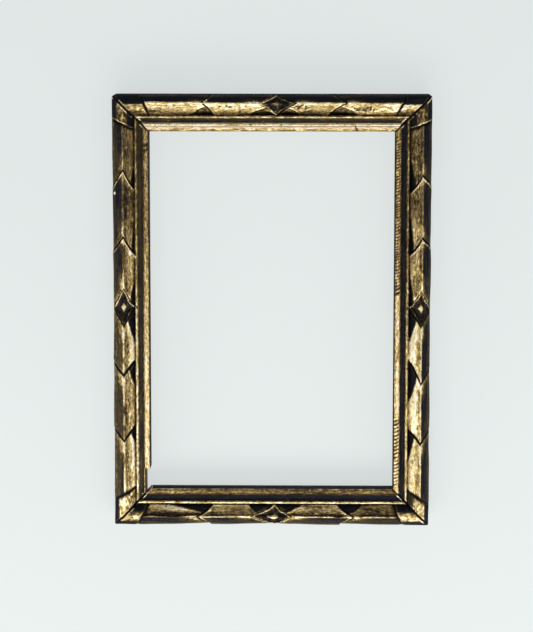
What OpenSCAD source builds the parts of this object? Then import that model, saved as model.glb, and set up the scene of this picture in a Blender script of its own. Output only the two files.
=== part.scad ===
/* [Frame] */
// Width over the outside edges
outer_w = 223; // [180:1:400]
// Height over the outside edges
outer_h = 305; // [250:1:500]

/* [Moulding] */
// Width of the moulding from outside edge to sight edge
mould_w = 25.5; // [24:0.5:30]
// Depth from the back plane to the carved ridge
ridge_v = 24; // [22:0.5:28]
// Distance of the ridge from the outside edge
ridge_u = 7.2; // [6:0.2:9]
// Depth of the outside face
shoulder_v = 19.4; // [17:0.2:21]
// Width of the carved roll
roll_w = 15; // [14:0.5:16]
// Height of the groove between roll and fillet
valley_v = 17.4; // [15:0.2:18.5]
// Height of the flat fillet beside the roll
fillet_v = 19; // [18:0.2:20]
// Width of the fillet
fillet_w = 2.4; // [1.5:0.1:3]
// Radius of the cove beside the fillet
cove_r = 2.9; // [2.4:0.1:3.2]

/* [Rabbet] */
// Depth of the rabbet from the back plane
rabbet_v = 5.2; // [4.5:0.1:7]
// Width of the rabbet from its wall to the sight edge
rabbet_w = 6; // [5:0.5:7]

/* [Sight bead] */
// Width of the bead seen from the front
bead_w = 4; // [3:0.1:5]
// Height of the bead's crown
bead_v = 18.9; // [17:0.1:20]
// Width of the slip below the bead, which hangs past the rail
slip_w = 2.9; // [2.4:0.1:3.4]
// Length broken off the lower end of the left bead
bead_break = 15; // [1:1:40]

/* [Carving] */
// Half length of the diamond at the middle of each side
diamond_s = 12.4; // [10:0.2:16]
// First leaf tip on the short sides, from the middle
tip_short = 52; // [45:1:60]
// Leaf tips on the long sides, from the middle
tips_long = [49, 95];
// How far a leaf's arms sweep back from its tip
arm_s = 12.5; // [8:0.5:16]
// Height that a leaf tip stands over the next leaf
lap_v = 1.5; // [0.5:0.1:2.5]
// Depth of the pockets beside a leaf's narrow root
pocket_v = 2.9; // [1:0.1:3.5]
// Length of a leaf's narrow root
root_s = 16; // [10:1:20]
// Distance of the corner band's cut from the corner, at the outside edge
band_s = 18.7; // [16:0.1:24]
// Extra distance of that cut at the inner end
band_skew = 6.3; // [3:0.1:8]

/* [Hanger] */
// Depth of the nail below the top edge when the ring holds it
nail_below_top = 3; // [2:0.5:6]
// Radius of the hanging ring's bow, to the middle of its wire
ring_r = 4.6; // [4:0.1:6]
// Radius of the ring's wire
ring_wire_r = 0.8; // [0.6:0.1:1]
// Distance of the hinge axis behind the back plane
hinge_y = 2.1; // [1.9:0.1:3]
// Width of the hanger plate
plate_w = 25; // [22:1:30]
// Height of the hanger plate
plate_h = 8; // [7:0.5:9]
// Thickness of the hanger plate
plate_t = 0.8; // [0.6:0.1:1]

/* [Turn buttons] */
// Length of a turn button
button_l = 26; // [22:1:28]
// Width of a turn button
button_w = 9; // [7:0.5:10]
// Thickness of a turn button
button_t = 1.4; // [1:0.1:2]
// Height of the turn buttons above and below the middle of the frame
button_z = 88; // [60:1:100]

/* [Fasteners] */
// Radius of the mitre brads
brad_r = 0.7; // [0.5:0.1:0.9]
// Length of the mitre brads
brad_l = 24; // [18:1:28]
// Radius of the screw shanks
screw_r = 1.2; // [1:0.1:1.5]
// Length of screw in the wood
screw_l = 9; // [6:1:11]

/* [Hidden] */
$fn = 64;

gilt = [0.62, 0.47, 0.22];
gilt_bead = [0.78, 0.64, 0.35];
old_brass = [0.55, 0.43, 0.2];
dull_steel = [0.5, 0.5, 0.5];

// The origin is the nail, on the back plane, so the frame hangs below it
top_z = nail_below_top;
mid_z = top_z - outer_h / 2;

// Section of a rail: u runs in from the outside edge, v forward from the back plane
rail_inner_u = mould_w - slip_w;
bead_u = mould_w - bead_w;
bead_r = bead_w / 2;
bead_mid_v = bead_v - bead_r;
seat_v = bead_mid_v - 1.2;
rabbet_u = mould_w - rabbet_w;
carve_floor_v = 13;
cove_mid_u = (roll_w + fillet_w + bead_u) / 2;
cove_mid_v = bead_mid_v + 1.4;

// Hanger
ring_leg = 1.8;
ring_bow_in = ring_leg + ring_r - ring_wire_r;
hinge_z = -ring_bow_in;
knuckle_r = 1.5;
knuckle_l = 5;
fit_gap = 0.08;
hanger_screw_x = 9;
hanger_screw_z = hinge_z - plate_h / 2;
hanger_head_r = 2;
hanger_head_t = 1;

// Turn buttons stand on the stiles' backs, clear of the wood
button_gap = 0.2;
button_hole_in = 5.5;
button_x = outer_w / 2 - 10;
button_head_r = 2.6;
button_head_t = 1.3;

// Brads: two in each mitre, their heads set under the surface
brad_head_r = 1.1;
brad_head_t = 0.6;
brad_set = 1;
brad_u = 9;
brad_v = [6.5, 11.5];

// Rows of the carved surface across the roll
carve_u = [
    0, ridge_u * 0.16, ridge_u * 0.45, ridge_u * 0.75, ridge_u,
    ridge_u + (roll_w - ridge_u) * 0.25, ridge_u + (roll_w - ridge_u) * 0.5,
    ridge_u + (roll_w - ridge_u) * 0.78, roll_w
];
rows = len(carve_u);

// Share of the way from the ridge to the roll's edge
function off_ridge(u) = u < ridge_u ? (ridge_u - u) / ridge_u : (u - ridge_u) / (roll_w - ridge_u);

// Height of the uncarved roll: two slightly full slopes that meet at the ridge
function roll_v(u) = u < ridge_u
    ? shoulder_v + (ridge_v - shoulder_v) * pow(u / ridge_u, 0.8)
    : valley_v + (ridge_v - valley_v) * pow((roll_w - u) / (roll_w - ridge_u), 0.8);

// A column of the carving is [place at the ridge, sweep, skew, drop at ridge, drop at edges]
function leaf_root(s, sweep) = [
    [s + 0.6, sweep - 0.2, 0, lap_v, pocket_v],
    [s + root_s * 0.5, sweep * 0.45, 0, lap_v * 0.45, pocket_v * 0.85],
    [s + root_s, 0, 0, 0, 0.4]
];
function leaf_tip(s) = [[s, arm_s, 0, 0, 0]];

// Diamond with a small raised diamond inside, from the middle outwards
function diamond_columns() = [
    [3.4, 3.3, 0, 1.4, 1.7],
    [diamond_s - 1, diamond_s - 1.3, 0, 1.7, 1.8],
    [diamond_s - 0.4, diamond_s - 0.9, 0, 0.8, 1.8]
];

function band_columns(len) = [
    [len / 2 - band_s - 0.7, 0, band_skew, 0, 0.2],
    [len / 2 - band_s, 0, band_skew, 1.5, 1.5],
    [len / 2 - band_s + 0.8, 0, band_skew, 0.5, 0.4],
    [len / 2, 0, roll_w, 0.5, 0.4]
];

function half_columns(len, tips) = concat(
    diamond_columns(),
    leaf_root(diamond_s, diamond_s - 0.6),
    [for (t = tips) for (c = concat(leaf_tip(t), leaf_root(t, arm_s))) c],
    band_columns(len)
);

// All columns of a side, from its negative end to its positive end, with the side's sign
function all_columns(len, tips) = let (half = half_columns(len, tips), n = len(half)) concat(
    [for (i = [n - 1:-1:0]) concat([-1], half[i])],
    [[1, 0, 0, 0, 0.1, 1.7]],
    [for (c = half) concat([1], c)]
);

function carve_point(c, u) = let (t = off_ridge(u)) [
    c[0] * (c[1] - c[2] * pow(t, 1.15) - c[3] * u / roll_w),
    u,
    roll_v(u) - c[4] * (1 - t) - c[5] * t
];

// Carved top of a side, down to a flat floor inside the wood
module carving(len, tips) {
    cols = all_columns(len, tips);
    n = len(cols);
    top = [for (c = cols) for (u = carve_u) carve_point(c, u)];
    base = [for (c = cols) for (u = [0, roll_w]) let (p = carve_point(c, u)) [p[0], u, carve_floor_v]];
    b0 = len(top);
    skin = [
        for (i = [0:n - 2]) for (j = [0:rows - 2]) for (k = [0, 1])
            let (a = i * rows + j, b = a + rows)
            k == 0 ? [a, a + 1, b + 1] : [a, b + 1, b]
    ];
    floor_faces = [for (i = [0:n - 2]) let (a = b0 + 2 * i) [a, a + 2, a + 3, a + 1]];
    outer_side = [for (i = [0:n - 2]) [i * rows, (i + 1) * rows, b0 + 2 * i + 2, b0 + 2 * i]];
    inner_side = [
        for (i = [0:n - 2])
            [i * rows + rows - 1, b0 + 2 * i + 1, b0 + 2 * i + 3, (i + 1) * rows + rows - 1]
    ];
    first_end = concat([for (j = [rows - 1:-1:0]) j], [b0, b0 + 1]);
    last_end = concat([for (j = [0:rows - 1]) (n - 1) * rows + j], [b0 + 2 * n - 1, b0 + 2 * n - 2]);
    polyhedron(top_and_base(top, base), concat(skin, floor_faces, outer_side, inner_side, [first_end, last_end]));
}
function top_and_base(top, base) = concat(top, base);

// Section of a rail without its carving, drawn in u and v
module rail_section() {
    difference() {
        polygon([
            [0, 0], [rabbet_u, 0], [rabbet_u, rabbet_v], [rail_inner_u, rabbet_v],
            [rail_inner_u, seat_v], [bead_u, seat_v], [bead_u, bead_mid_v],
            [roll_w + fillet_w, fillet_v], [roll_w, fillet_v],
            [roll_w, carve_floor_v], [0, carve_floor_v]
        ]);
        translate([cove_mid_u, cove_mid_v])
            circle(r = cove_r);
    }
}

// Section of the bead and the slip that carries it
module bead_section() {
    difference() {
        union() {
            translate([bead_u, seat_v])
                square([bead_w, bead_mid_v - seat_v]);
            translate([rail_inner_u, rabbet_v])
                square([slip_w, bead_mid_v - rabbet_v]);
            translate([bead_u + bead_r, bead_mid_v])
                circle(r = bead_r);
        }
        translate([0, rabbet_v])
            square([rail_inner_u, seat_v - rabbet_v]);
    }
}

// A length of section along x, with u along y and v along z
module along(len) {
    rotate([90, 0, 90])
        linear_extrude(len, center = true)
            children();
}

// What is left of a side between its two mitres
module mitred(len) {
    intersection() {
        along(len)
            children();
        translate([0, 0, -1])
            linear_extrude(ridge_v + 2)
                polygon([
                    [-len / 2, 0], [len / 2, 0],
                    [len / 2 - mould_w - 1, mould_w + 1], [-len / 2 + mould_w + 1, mould_w + 1]
                ]);
    }
}

// Puts a side in its place: turn 0 is the bottom, 90 the right, 180 the top, 270 the left
module on_side(turn) {
    out = turn % 180 == 0 ? outer_h / 2 : outer_w / 2;
    translate([0, 0, mid_z])
        rotate([90, 0, 0])
            rotate([0, 0, turn])
                translate([0, -out, 0])
                    children();
}

module rail(len, tips) {
    mitred(len)
        rail_section();
    carving(len, tips);
}

// Brads of one corner, which run along x from the stile's side into the rail's end
module brads(side_x, side_z) {
    z = mid_z + side_z * (outer_h / 2 - brad_u);
    color(dull_steel)
        for (v = brad_v)
            translate([side_x * (outer_w / 2 - brad_set), -v, z])
                rotate([0, -90 * side_x, 0]) {
                    cylinder(r = brad_head_r, h = brad_head_t);
                    cylinder(r = brad_r, h = brad_l);
                }
}

module all_brads() {
    for (x = [-1, 1])
        for (z = [-1, 1])
            brads(x, z);
}

// A screw along -y into the wood, with its head's seat at the children's origin
module screw(head_r, head_t, shank_r, length) {
    rotate([90, 0, 0])
        cylinder(r = shank_r, h = length);
    difference() {
        rotate([-90, 0, 0])
            cylinder(r = head_r, h = head_t);
        translate([-head_r, head_t * 0.5, -0.25])
            cube([2 * head_r, head_t, 0.5]);
    }
}

module hanger_screw_holes() {
    for (x = [-1, 1])
        translate([x * hanger_screw_x, 1, hanger_screw_z])
            rotate([90, 0, 0])
                cylinder(r = screw_r, h = screw_l + 1);
}

module button_screw_holes() {
    for (x = [-1, 1])
        for (z = [-1, 1])
            translate([x * button_x, 1, mid_z + z * button_z])
                rotate([90, 0, 0])
                    cylinder(r = screw_r, h = screw_l + 1);
}

module top_rail() {
    color(gilt)
        difference() {
            on_side(180)
                rail(outer_w, [tip_short]);
            all_brads();
            hanger_screw_holes();
        }
}

module bottom_rail() {
    color(gilt)
        difference() {
            on_side(0)
                rail(outer_w, [tip_short]);
            all_brads();
        }
}

module left_stile() {
    color(gilt)
        difference() {
            on_side(270)
                rail(outer_h, tips_long);
            all_brads();
            button_screw_holes();
        }
}

module right_stile() {
    color(gilt)
        difference() {
            on_side(90)
                rail(outer_h, tips_long);
            all_brads();
            button_screw_holes();
        }
}

module top_sight_bead() {
    color(gilt_bead)
        on_side(180)
            mitred(outer_w)
                bead_section();
}

module bottom_sight_bead() {
    color(gilt_bead)
        on_side(0)
            mitred(outer_w)
                bead_section();
}

module right_sight_bead() {
    color(gilt_bead)
        on_side(90)
            mitred(outer_h)
                bead_section();
}

// The left bead stops short of the lower mitre, where a piece has broken off
module left_sight_bead() {
    gone = mould_w + bead_break;
    color(gilt_bead)
        difference() {
            on_side(270)
                mitred(outer_h)
                    bead_section();
            translate([-outer_w / 2, -ridge_v, mid_z - outer_h / 2])
                cube([mould_w + 1, ridge_v + 1, gone]);
        }
}

module brads_top_left() {
    brads(-1, 1);
}

module brads_top_right() {
    brads(1, 1);
}

module brads_bottom_left() {
    brads(-1, -1);
}

module brads_bottom_right() {
    brads(1, -1);
}

// Plate with rounded ends, two screw holes and a knuckle for the ring's bar
module hanger_plate() {
    color(old_brass)
        difference() {
            union() {
                translate([-plate_w / 2 + plate_h / 2, 0, hinge_z - plate_h])
                    cube([plate_w - plate_h, plate_t, plate_h]);
                for (x = [-1, 1])
                    translate([x * (plate_w - plate_h) / 2, plate_t, hanger_screw_z])
                        rotate([90, 0, 0])
                            cylinder(r = plate_h / 2, h = plate_t);
                translate([-knuckle_l / 2, 0, hinge_z - knuckle_r])
                    cube([knuckle_l, hinge_y, knuckle_r]);
                translate([-knuckle_l / 2, hinge_y, hinge_z])
                    rotate([0, 90, 0])
                        cylinder(r = knuckle_r, h = knuckle_l);
            }
            translate([-knuckle_l, hinge_y, hinge_z])
                rotate([0, 90, 0])
                    cylinder(r = ring_wire_r + fit_gap, h = knuckle_l * 2);
            hanger_screw_holes();
        }
}

// D-shaped ring of round wire, hanging down from its straight bar
module hanger_ring() {
    color(old_brass)
        translate([0, hinge_y, hinge_z]) {
            translate([-ring_r, 0, 0])
                rotate([0, 90, 0])
                    cylinder(r = ring_wire_r, h = 2 * ring_r);
            for (x = [-1, 1]) {
                translate([x * ring_r, 0, 0])
                    sphere(r = ring_wire_r);
                translate([x * ring_r, 0, -ring_leg])
                    cylinder(r = ring_wire_r, h = ring_leg);
            }
            translate([0, 0, -ring_leg])
                rotate([-90, 0, 0])
                    rotate_extrude(angle = 180)
                        translate([ring_r, 0])
                            circle(r = ring_wire_r);
        }
}

module hanger_screws() {
    color(old_brass)
        for (x = [-1, 1])
            translate([x * hanger_screw_x, plate_t, hanger_screw_z])
                screw(hanger_head_r, hanger_head_t, screw_r, screw_l + plate_t);
}

// Flat turn button with round ends, hanging down from its screw
module turn_button(side_x, side_z) {
    reach = button_l - button_hole_in - button_w / 2;
    color(old_brass)
        translate([side_x * button_x, button_gap, mid_z + side_z * button_z])
            difference() {
                union() {
                    for (z = [button_hole_in - button_w / 2, -reach])
                        translate([0, button_t, z])
                            rotate([90, 0, 0])
                                cylinder(r = button_w / 2, h = button_t);
                    translate([-button_w / 2, 0, -reach])
                        cube([button_w, button_t, reach + button_hole_in - button_w / 2]);
                }
                translate([0, button_t + 1, 0])
                    rotate([90, 0, 0])
                        cylinder(r = screw_r + fit_gap, h = button_t + 2);
            }
}

module turn_button_upper_left() {
    turn_button(-1, 1);
}

module turn_button_lower_left() {
    turn_button(-1, -1);
}

module turn_button_upper_right() {
    turn_button(1, 1);
}

module turn_button_lower_right() {
    turn_button(1, -1);
}

module turn_button_screws() {
    seat = button_gap * 2 + button_t;
    color(old_brass)
        for (x = [-1, 1])
            for (z = [-1, 1])
                translate([x * button_x, seat, mid_z + z * button_z])
                    screw(button_head_r, button_head_t, screw_r, screw_l + seat);
}

top_rail();
bottom_rail();
left_stile();
right_stile();
top_sight_bead();
bottom_sight_bead();
left_sight_bead();
right_sight_bead();
brads_top_left();
brads_top_right();
brads_bottom_left();
brads_bottom_right();
hanger_plate();
hanger_ring();
hanger_screws();
turn_button_upper_left();
turn_button_lower_left();
turn_button_upper_right();
turn_button_lower_right();
turn_button_screws();
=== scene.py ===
import math

import bmesh
import bpy
import numpy as np
from mathutils import Matrix, Vector


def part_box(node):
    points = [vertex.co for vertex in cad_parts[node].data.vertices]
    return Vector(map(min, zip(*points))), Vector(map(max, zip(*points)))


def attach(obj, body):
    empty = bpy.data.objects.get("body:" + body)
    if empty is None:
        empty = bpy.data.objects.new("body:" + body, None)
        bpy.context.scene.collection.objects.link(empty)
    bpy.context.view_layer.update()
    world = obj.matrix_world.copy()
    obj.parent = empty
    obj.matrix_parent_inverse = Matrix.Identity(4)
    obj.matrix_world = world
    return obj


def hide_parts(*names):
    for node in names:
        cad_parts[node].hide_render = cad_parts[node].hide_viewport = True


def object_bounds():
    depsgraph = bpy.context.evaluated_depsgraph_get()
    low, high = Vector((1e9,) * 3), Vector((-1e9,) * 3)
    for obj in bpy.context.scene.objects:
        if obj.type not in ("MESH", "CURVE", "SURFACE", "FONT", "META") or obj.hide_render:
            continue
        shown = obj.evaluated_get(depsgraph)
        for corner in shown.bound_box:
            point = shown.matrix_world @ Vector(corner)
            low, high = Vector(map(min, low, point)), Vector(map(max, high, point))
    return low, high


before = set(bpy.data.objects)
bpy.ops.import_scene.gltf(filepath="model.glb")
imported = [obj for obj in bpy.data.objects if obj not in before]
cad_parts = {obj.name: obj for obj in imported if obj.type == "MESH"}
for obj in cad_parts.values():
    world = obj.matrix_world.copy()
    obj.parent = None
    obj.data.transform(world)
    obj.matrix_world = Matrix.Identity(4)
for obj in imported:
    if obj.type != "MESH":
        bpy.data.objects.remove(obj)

cad_low, cad_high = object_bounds()

# Sizes in millimetres; metres only where a mesh is made
MM = 0.001

rail_low, rail_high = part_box("bottom_rail")
stile_low, stile_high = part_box("left_stile")
OUTER_W = (rail_high.x - rail_low.x) / MM
OUTER_H = (stile_high.z - stile_low.z) / MM
MID_Z = (stile_high.z + stile_low.z) / 2 / MM
MOULD_W = (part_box("bottom_sight_bead")[1].z - rail_low.z) / MM
RIDGE_V = -rail_low.y / MM

# Section of the moulding: u runs in from the outside edge, v forward from the back
RIDGE_U = 7.2
SHOULDER_V = 19.4
ROLL_W = 15.4
VALLEY_V = 17.4
FILLET_V = 19.0
FILLET_W = 1.9
COVE_U, COVE_V, COVE_R = 19.3, 18.6, 2.15
BEAD_W = 4.0
BEAD_R = BEAD_W / 2
BEAD_V = 18.9
BEAD_MID_V = BEAD_V - BEAD_R
SEAT_V = BEAD_MID_V - 1.2
SLIP_W = 2.9
BEAD_U = MOULD_W - BEAD_W
RAIL_U = MOULD_W - SLIP_W
RABBET_V = 5.2
RABBET_U = 19.5
CHAMFER = 0.35
BAND_MID_U, BAND_HALF_W = 7.4, 7.7
EDGE_STRIP = 0.7

# Rest of the section, behind the front: seat of the bead, ledge with rabbet and back, outside
RAIL_SEAT = [(BEAD_U, SEAT_V), (RAIL_U, SEAT_V)]
RAIL_BACK = [
    (RAIL_U, 10.5), (RAIL_U, RABBET_V + 0.2), (RAIL_U - 0.2, RABBET_V), (21.0, RABBET_V),
    (RABBET_U, RABBET_V), (RABBET_U, 2.6), (RABBET_U, CHAMFER), (RABBET_U - CHAMFER, 0.0),
    *((u, 0.0) for u in (16.5, 13.0, 9.5, 6.0, 2.5, CHAMFER)),
]
RAIL_OUTSIDE = [(0.0, v) for v in (CHAMFER, 4.0, 8.0, 12.0, 15.5, 17.8)]
BEAD_SIGHT = [
    *((MOULD_W, v) for v in (15.0, 12.5, 10.0, 7.5, RABBET_V + 0.3)), (MOULD_W - 0.3, RABBET_V),
]
BEAD_HIDDEN = [(RAIL_U, RABBET_V), (RAIL_U, SEAT_V), (BEAD_U, SEAT_V)]

# Carving: how deep each thing is cut, or how far it stands up
LAP_DROP = 1.6
POCKET_DROP = 3.0
CUT_DROP = 0.9
RIDGE_DROP = 0.35
GROOVE_DROP = 1.5
VALLEY_DROP = 1.1
MITRE_DROP = 1.3
BEAD_MITRE_DROP = 0.8
KNOCK_DROP = 0.3
PIT_DROP = 0.22
LIP_RISE = 0.2
RIM_RISE = 0.3

# Length that the last leaf of a half has, gaps in the mitres, and where the left bead is broken
LAST_LEAF = 40
MITRE_GAP = 0.1
BEAD_GAP = MITRE_GAP * 1.3
BREAK_S = OUTER_H / 2 - MOULD_W - 15.0

# Powers of the curves of a tip's inner and outer arm, and of a diamond's rim
ARM_CURVES = (0.72, 0.9)
DIAMOND_CURVE = 0.85

# What each side has:
# turn is how many degrees it is turned from the bottom rail, length how long it is, middle where
# along it the middle of its diamond is, and seed the number that its noises start from.
# Halves are the half before the middle and the one after it, with rows from the middle out, the
# first for the diamond. A row is a tip, how far its inner and outer arms sweep back, the pocket
# beside the next leaf's root (its length, how much of the slope it takes at its start and how
# full it is), and how much brighter that leaf is than the others, a painted highlight on it.
# Bands are those of the two halves: how far from the corner the band's groove starts and ends,
# and how dark the band's inner part is. Band_edge is how wide their outer part is, which is
# painted dark as shade.
# Near, far, crest, fillet and bead are how bright the gold is near the ridge, far from it, on the
# ridge, on the fillet and on the bead, and climb is how wide the change from near to far is; that
# change across the inner slope is painted light and shade.
# Outer, cove, valley and pocket are how dark the outer slope, the cove, the valley and the pockets
# are, lip and beyond how bright the painted highlights on the lips and on the far side of the cuts
# are, cut how wide the painted shadow lines of the cuts are, the rub value how far the outer slope
# is rubbed past a tip, and reach how far across the bead its gold reaches. Where one of these is a
# pair, it is for the frame's upper and for its lower end, and the change between them is painted
# light and shade, most parts brighter towards the lower end.
# Ridge is how far the ridge is from its usual place and how wide it is rubbed and painted with a
# highlight, and bend a place where it bends away, how long the bend is and how far it goes.
# Heart is how bright the painted highlight on the middle of the diamond is, rims the same for the
# painted highlights on the rims of its two halves, and facet how worn it is inside them.
# Tilt is how much brighter the bead is painted on its outer half, painted light and shade for how
# its two halves face the light, crown the power that its section rises by (1 for a half round, less
# for a fuller one), foot how far its gold runs out into the cove, painted brighter the further it
# runs, pull how far the section is drawn outwards at the leaves and at the fillet, and wear how
# deep the outside edge is cut beside the tips.
SIDES = {
    "bottom": dict(
        turn=0, length=OUTER_W, middle=2.1, seed=11,
        halves=(
            [(17.2, 17.2, 17.2, (20, 1.0, 2.5), 0.08), (54.9, 12.0, 9.6, (38, 0.95, 0.9), 0.38)],
            [(12.2, 12.2, 12.2, (22, 1.0, 1.3), 0.34), (55.7, 12.4, 9.6, (20, 1.0, 2.2), -0.14)],
        ),
        bands=((16.3, 24.1, 1.0), (19.4, 25.3, 1.0)), band_edge=2.5,
        near=0.12, far=0.80, climb=7.0, crest=1.0, fillet=0.82, bead=0.40, outer=0.80, cove=1.0,
        valley=0.9, pocket=1.0, lip=0.75, beyond=0.3, cut=0.85, rub_and_highlight=0.5, reach=0.95,
        ridge=(-0.1, 0.5), bend=(0, 1, 0), heart=0.9, rims=(1.1, 1.0), facet=0.45,
        tilt=-0.20, crown=0.7, foot=0.5, pull=(0.6, 0.6), wear=0.9,
    ),
    "right": dict(
        turn=90, length=OUTER_H, middle=3.3, seed=23,
        halves=(
            [
                (12.7, 12.7, 12.7, (27, 0.9, 1.2), 0.12),
                (53.3, 17.0, 11.3, (33, 0.88, 2.0), 0.06),
                (96.3, 10.6, 11.3, (28, 0.78, 1.0), 0.0),
            ],
            [
                (11.6, 11.6, 11.6, (29, 0.50, 1.1), 0.02),
                (49.3, 12.7, 7.0, (37, 0.46, 1.2), 0.0),
                (93.6, 13.4, 7.8, (30, 0.60, 1.2), -0.03),
            ],
        ),
        bands=((15.3, 24.6, 0.7), (17.8, 24.3, 0.9)), band_edge=2.5,
        near=(0.36, 0.58), far=(0.50, 0.88), climb=4.0,
        crest=(0.52, 0.95), fillet=(0.42, 0.72), bead=(0.61, 0.84),
        outer=(0.98, 0.90), cove=(0.92, 0.90), valley=(0.60, 0.20), pocket=1.0,
        lip=(1.0, 0.15), beyond=(0.15, 0.40), cut=(0.65, 1.50), rub_and_highlight=(0.35, 0.55), reach=0.68,
        ridge=(-0.4, 0.55), bend=(0, 1, 0), heart=1.0, rims=(0.45, 1.25), facet=0.25,
        tilt=0.10, crown=0.7, foot=0.5, pull=(0.0, 0.0), wear=0.3,
    ),
    "top": dict(
        turn=180, length=OUTER_W, middle=-3.0, seed=37,
        halves=(
            [(13.5, 13.5, 13.5, (18, 0.85, 2.0), -0.08), (49.2, 14.1, 8.8, (24, 0.95, 2.0), 0.14)],
            [(13.1, 13.1, 13.1, (21, 0.85, 1.6), 0.04), (51.9, 9.4, 7.0, (18, 0.85, 2.2), 0.0)],
        ),
        bands=((17.7, 24.6, 0.15), (20.1, 25.9, 0.2)), band_edge=5.4,
        near=0.84, far=0.36, climb=6.0, crest=0.85, fillet=0.70, bead=0.86, outer=1.08, cove=0.70,
        valley=0.50, pocket=0.10, lip=0.3, beyond=0.35, cut=0.75, rub_and_highlight=0.0, reach=0.90,
        ridge=(-1.2, 0.42), bend=(75, 30, -1.1), heart=0.35, rims=(0.8, 1.3), facet=0.9,
        tilt=0.55, crown=0.35, foot=1.5, pull=(0.3, 1.2), wear=0.6,
    ),
    "left": dict(
        turn=270, length=OUTER_H, middle=-3.7, seed=41,
        halves=(
            [
                (12.7, 12.7, 12.7, (24, 0.60, 1.0), 0.06),
                (49.3, 12.7, 9.9, (33, 0.34, 1.2), 0.0),
                (96.3, 14.1, 12.0, (18, 0.38, 2.0), 0.0),
            ],
            [
                (13.0, 13.0, 13.0, (28, 0.92, 1.3), 0.20),
                (47.7, 10.2, 9.9, (20, 0.65, 2.0), -0.38),
                (94.4, 10.6, 8.5, (17, 0.6, 1.5), 0.0),
            ],
        ),
        bands=((16.9, 24.6, 1.0), (18.6, 26.5, 0.1)), band_edge=2.5,
        near=(0.15, 0.44), far=(0.43, 0.98), climb=4.8,
        crest=(0.50, 1.02), fillet=(0.50, 0.80), bead=(0.52, 0.82),
        outer=(0.80, 0.55), cove=0.70, valley=(0.45, 0.75), pocket=(0.85, 0.95),
        lip=(1.0, 0.2), beyond=(0.2, 0.55), cut=(0.65, 1.50), rub_and_highlight=(0.55, 0.6), reach=0.66,
        ridge=(0.6, 0.7), bend=(0, 1, 0), heart=1.0, rims=(1.2, 0.5), facet=0.45,
        tilt=0.06, crown=0.7, foot=0.5, pull=(0.0, 0.0), wear=0.3,
    ),
}
# Dents of the beads: where along the side, how long and how deep
DENTS = {
    "left": [(-117, 0.9, 0.6), (-113.5, 0.7, 0.45)],
    "right": [(14.4, 0.8, 0.7), (17.2, 0.6, 0.5), (19.4, 0.5, 0.4)],
    "top": [(-58, 0.6, 0.4)],
}
# Two runs of rope-like cuts on the right bead, upwards: start, end, distance of the cuts and depth
ROPE_RUNS = [(14, 126, 2.1, 0.40), (-128, -72, 2.5, 0.58)]
# Lighter and darker lengths of the beads: the middle, half length and change
FADES = {
    "bottom": [(31, 24, -0.15), (-75, 22, 0.10)],
    "right": [(-28, 12, -0.14)],
}
# Painted highlights and painted shade of the carved gold, its lighter and darker places: along the
# side, in from its edge, the half sizes and the change
PATCHES = {
    "bottom": [
        (-72, 8.8, 18, 2.0, -0.45), (-76, 13.4, 14, 1.6, 0.10), (31, 14.0, 16, 0.9, -0.40),
        (22, 9.0, 7, 2, -0.1),
    ],
    "right": [
        (17, 11.5, 9, 4.0, -0.30), (-28, 8.3, 9, 1.4, -0.20), (-28, 14.0, 9, 1.6, 0.20),
        (-92, 13.6, 26, 1.4, -0.16), (-66, 10.0, 14, 2.6, 0.24),
    ],
    "top": [
        (-70, 7.2, 18, 2.4, -0.22), (75, 9.2, 14, 2.0, 0.12), (75, 13.6, 14, 1.3, 0.15),
        (28, 9.4, 12, 1.5, 0.14), (-85, 9.5, 8, 4.0, 0.22), (-72, 13.2, 14, 1.4, 0.22),
    ],
    "left": [(-19, 12.0, 9, 3.4, -0.30), (80, 8.4, 18, 1.8, -0.24), (80, 13.6, 18, 1.0, 0.14)],
}
# Places rubbed through to the gesso: along the side, in from its edge, and the half sizes
SPOTS = {
    "top": [
        (48.6, 6.0, 1.1, 0.6), (46.9, 4.8, 1.1, 0.7), (45.6, 3.7, 1.0, 0.7),
        (-48.4, 5.9, 1.2, 0.35),
    ],
    "left": [
        (-83.9, 1.9, 1.3, 1.0), (-41.8, 12.3, 1.9, 1.2), (-38.8, 15.6, 1.9, 1.0),
        (-50.3, 6.8, 1.4, 0.7), (112, 16.2, 1.6, 0.7),
    ],
    "right": [(14.0, 15.6, 1.4, 0.8)],
    "bottom": [(-36.5, 15.9, 1.5, 0.8)],
}
# Dark knocks, given in the same way
KNOCKS = {
    "left": [(-3.7, 16.2, 1.7, 1.3), (74, 13.0, 1.5, 0.5), (66, 11.0, 2.2, 0.4)],
    "bottom": [(-38.8, 15.6, 1.2, 0.6), (-82, 15.6, 9.0, 0.45)],
    "right": [(3.3, 16.2, 1.2, 0.8)],
    "top": [
        (79, 12.2, 5.5, 0.8), (-64, 10.5, 7.0, 1.1), (-20, 8.5, 4.5, 1.2), (32, 8.3, 5.0, 0.6),
        (-88, 12.8, 2.2, 0.8),
    ],
}
NODES = {
    "bottom": ("bottom_rail", "bottom_sight_bead"),
    "right": ("right_stile", "right_sight_bead"),
    "top": ("top_rail", "top_sight_bead"),
    "left": ("left_stile", "left_sight_bead"),
}
# Radius of each worn outer corner, by its side in x and z
CORNER_R = {(-1, 1): 2.6, (1, 1): 2.4, (-1, -1): 1.3, (1, -1): 1.6}

# Size of a mesh's steps along a side and across it
STEP_S, STEP_U = ((0.46, 0.25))
BEAD_STEP = STEP_S * 0.95
CROWN_POINTS = 19
SHARP_ANGLE = math.radians(50)
TINY = 1e-6

# Places in a mesh's list of materials
GILT, PAINT, WOOD = 0, 1, 2

# How far the height moves a material's pattern across, and how far apart two sides' patterns are
LAY_V = 0.6
RAIL_LAY, BEAD_LAY = 3.0, 5.0


def smooth(x):
    x = np.clip(x, 0.0, 1.0)
    return x * x * (3 - 2 * x)


def bump(x, width):
    return np.exp(-(x / width) ** 2)


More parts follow.
